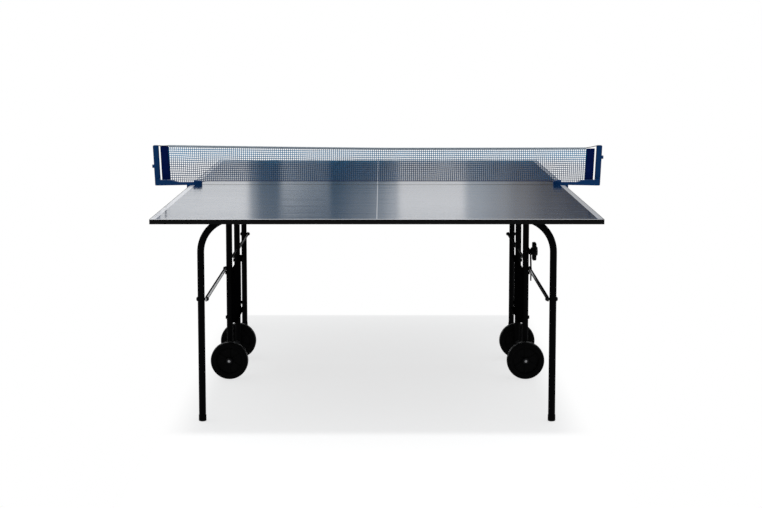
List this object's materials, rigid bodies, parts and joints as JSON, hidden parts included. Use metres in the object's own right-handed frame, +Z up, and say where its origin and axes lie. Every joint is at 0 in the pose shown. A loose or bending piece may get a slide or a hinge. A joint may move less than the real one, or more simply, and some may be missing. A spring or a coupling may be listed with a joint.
{
  "type": "table tennis table",
  "caption": "Folding table tennis table: two hinged half tops on a wheeled centre carriage, with parallel-link leg frames, a locking knob and a clamp-on net set.",
  "frame": {"origin": "floor level, at the centre of the table's overall box", "axes": "+X along the net, +Y along the table away from the near half, +Z up"},
  "size_m": [1.8385, 2.74, 0.9205],
  "materials": {
    "playing_surface": "gloss dark blue lacquer on board, with white lines",
    "edge_band": "black edging band",
    "frame_steel": "black powder coat on steel tube",
    "zinc_steel": "bright zinc plate",
    "tyre_rubber": "matt black rubber",
    "foot_rubber": "matt black rubber",
    "hub_plastic": "black moulded plastic",
    "axle_steel": "light grey cap on a plated bolt",
    "knob_plastic": "black moulded plastic",
    "post_metal": "blue teal paint on steel",
    "sleeve_cloth": "navy woven nylon",
    "net_cord": "knotted blue grey cord",
    "tape_cloth": "grey white woven tape"
  },
  "bodies": {
    "carriage": {"near_cross_tube": "frame_steel", "near_left_upright": "frame_steel", "near_left_axle_bolt": "axle_steel", "near_right_upright": "frame_steel", "near_right_axle_bolt": "axle_steel", "far_cross_tube": "frame_steel", "far_left_upright": "frame_steel", "far_left_axle_bolt": "axle_steel", "far_right_upright": "frame_steel", "far_right_axle_bolt": "axle_steel", "left_side_plate": "frame_steel", "left_tie_rod": "frame_steel", "right_side_plate": "frame_steel", "right_tie_rod": "frame_steel"},
    "near_left_wheel": {"near_left_tyre": "tyre_rubber", "near_left_wheel_hub": "hub_plastic"},
    "near_right_wheel": {"near_right_tyre": "tyre_rubber", "near_right_wheel_hub": "hub_plastic"},
    "near_half": {"near_top_board": "playing_surface", "near_edge_band": "edge_band", "near_inner_cross_bar": "frame_steel", "near_outer_cross_bar": "frame_steel", "near_left_rail": "frame_steel", "near_left_leg_saddle": "zinc_steel", "near_right_rail": "frame_steel", "near_right_leg_saddle": "zinc_steel", "left_net_bracket": "post_metal", "left_net_sleeve": "sleeve_cloth", "right_net_bracket": "post_metal", "right_net_sleeve": "sleeve_cloth", "net": "net_cord", "net_tape": "tape_cloth"},
    "near_leg": {"near_leg_frame": "frame_steel", "near_left_foot": "foot_rubber", "near_right_foot": "foot_rubber"},
    "near_stays": {"near_left_stay": "frame_steel", "near_right_stay": "frame_steel"},
    "far_left_wheel": {"far_left_tyre": "tyre_rubber", "far_left_wheel_hub": "hub_plastic"},
    "far_right_wheel": {"far_right_tyre": "tyre_rubber", "far_right_wheel_hub": "hub_plastic"},
    "far_half": {"far_top_board": "playing_surface", "far_edge_band": "edge_band", "far_inner_cross_bar": "frame_steel", "far_outer_cross_bar": "frame_steel", "far_left_rail": "frame_steel", "far_left_leg_saddle": "zinc_steel", "far_right_rail": "frame_steel", "far_right_leg_saddle": "zinc_steel"},
    "far_leg": {"far_leg_frame": "frame_steel", "far_left_foot": "foot_rubber", "far_right_foot": "foot_rubber"},
    "far_stays": {"far_left_stay": "frame_steel", "far_right_stay": "frame_steel"},
    "left_clamp_shoe": {"left_clamp_pad": "knob_plastic"},
    "left_clamp_handle": {"left_clamp_screw": "knob_plastic"},
    "right_clamp_shoe": {"right_clamp_pad": "knob_plastic"},
    "right_clamp_handle": {"right_clamp_screw": "knob_plastic"},
    "lock_handle": {"lock_knob": "knob_plastic"}
  },
  "joints": [
    {"name": "near_half_fold", "type": "hinge", "parent": "carriage", "child": "near_half", "pos_m": [0, -0.2, 0.729], "axis": [1, 0, 0], "range_deg": [-90, 0]},
    {"name": "far_half_fold", "type": "hinge", "parent": "carriage", "child": "far_half", "pos_m": [0, 0.2, 0.729], "axis": [1, 0, 0], "range_deg": [0, 90]},
    {"name": "near_leg_fold", "type": "hinge", "parent": "near_half", "child": "near_leg", "pos_m": [0, -1.03, 0.729], "axis": [1, 0, 0], "range_deg": [0, 90]},
    {"name": "far_leg_fold", "type": "hinge", "parent": "far_half", "child": "far_leg", "pos_m": [0, 1.03, 0.729], "axis": [1, 0, 0], "range_deg": [-90, 0]},
    {"name": "near_stay_swing", "type": "hinge", "parent": "carriage", "child": "near_stays", "pos_m": [0, -0.2, 0.441], "axis": [1, 0, 0], "range_deg": [-90, 0]},
    {"name": "far_stay_swing", "type": "hinge", "parent": "carriage", "child": "far_stays", "pos_m": [0, 0.2, 0.441], "axis": [1, 0, 0], "range_deg": [0, 90]},
    {"name": "near_left_wheel_spin", "type": "hinge", "parent": "carriage", "child": "near_left_wheel", "pos_m": [-0.592, -0.2355, 0.075], "axis": [0, 1, 0], "continuous": true},
    {"name": "near_right_wheel_spin", "type": "hinge", "parent": "carriage", "child": "near_right_wheel", "pos_m": [0.592, -0.2355, 0.075], "axis": [0, 1, 0], "continuous": true},
    {"name": "far_left_wheel_spin", "type": "hinge", "parent": "carriage", "child": "far_left_wheel", "pos_m": [-0.592, 0.2355, 0.075], "axis": [0, 1, 0], "continuous": true},
    {"name": "far_right_wheel_spin", "type": "hinge", "parent": "carriage", "child": "far_right_wheel", "pos_m": [0.592, 0.2355, 0.075], "axis": [0, 1, 0], "continuous": true},
    {"name": "lock_knob_turn", "type": "hinge", "parent": "carriage", "child": "lock_handle", "pos_m": [0.62, -0.23, 0.514], "axis": [1, 0, 0], "range_deg": [0, 540]},
    {"name": "left_pad_travel", "type": "slide", "parent": "near_half", "child": "left_clamp_shoe", "axis": [0, 0, -1], "range_m": [0, 0.012]},
    {"name": "left_clamp_turn", "type": "hinge", "parent": "left_clamp_shoe", "child": "left_clamp_handle", "pos_m": [-0.7385, -0.022, 0.69], "axis": [0, 0, 1], "range_deg": [0, 1081]},
    {"name": "right_pad_travel", "type": "slide", "parent": "near_half", "child": "right_clamp_shoe", "axis": [0, 0, -1], "range_m": [0, 0.012]},
    {"name": "right_clamp_turn", "type": "hinge", "parent": "right_clamp_shoe", "child": "right_clamp_handle", "pos_m": [0.7385, -0.022, 0.69], "axis": [0, 0, 1], "range_deg": [0, 1081]}
  ],
  "couplings": [
    {"joint": "far_half_fold", "follows": "near_half_fold", "ratio": -1},
    {"joint": "near_leg_fold", "follows": "near_half_fold", "ratio": -1},
    {"joint": "far_leg_fold", "follows": "near_half_fold", "ratio": 1},
    {"joint": "near_stay_swing", "follows": "near_half_fold", "ratio": 1},
    {"joint": "far_stay_swing", "follows": "near_half_fold", "ratio": -1},
    {"joint": "left_clamp_turn", "follows": "left_pad_travel", "rad_per_m": 1570.8},
    {"joint": "right_clamp_turn", "follows": "right_pad_travel", "rad_per_m": 1570.8}
  ]
}
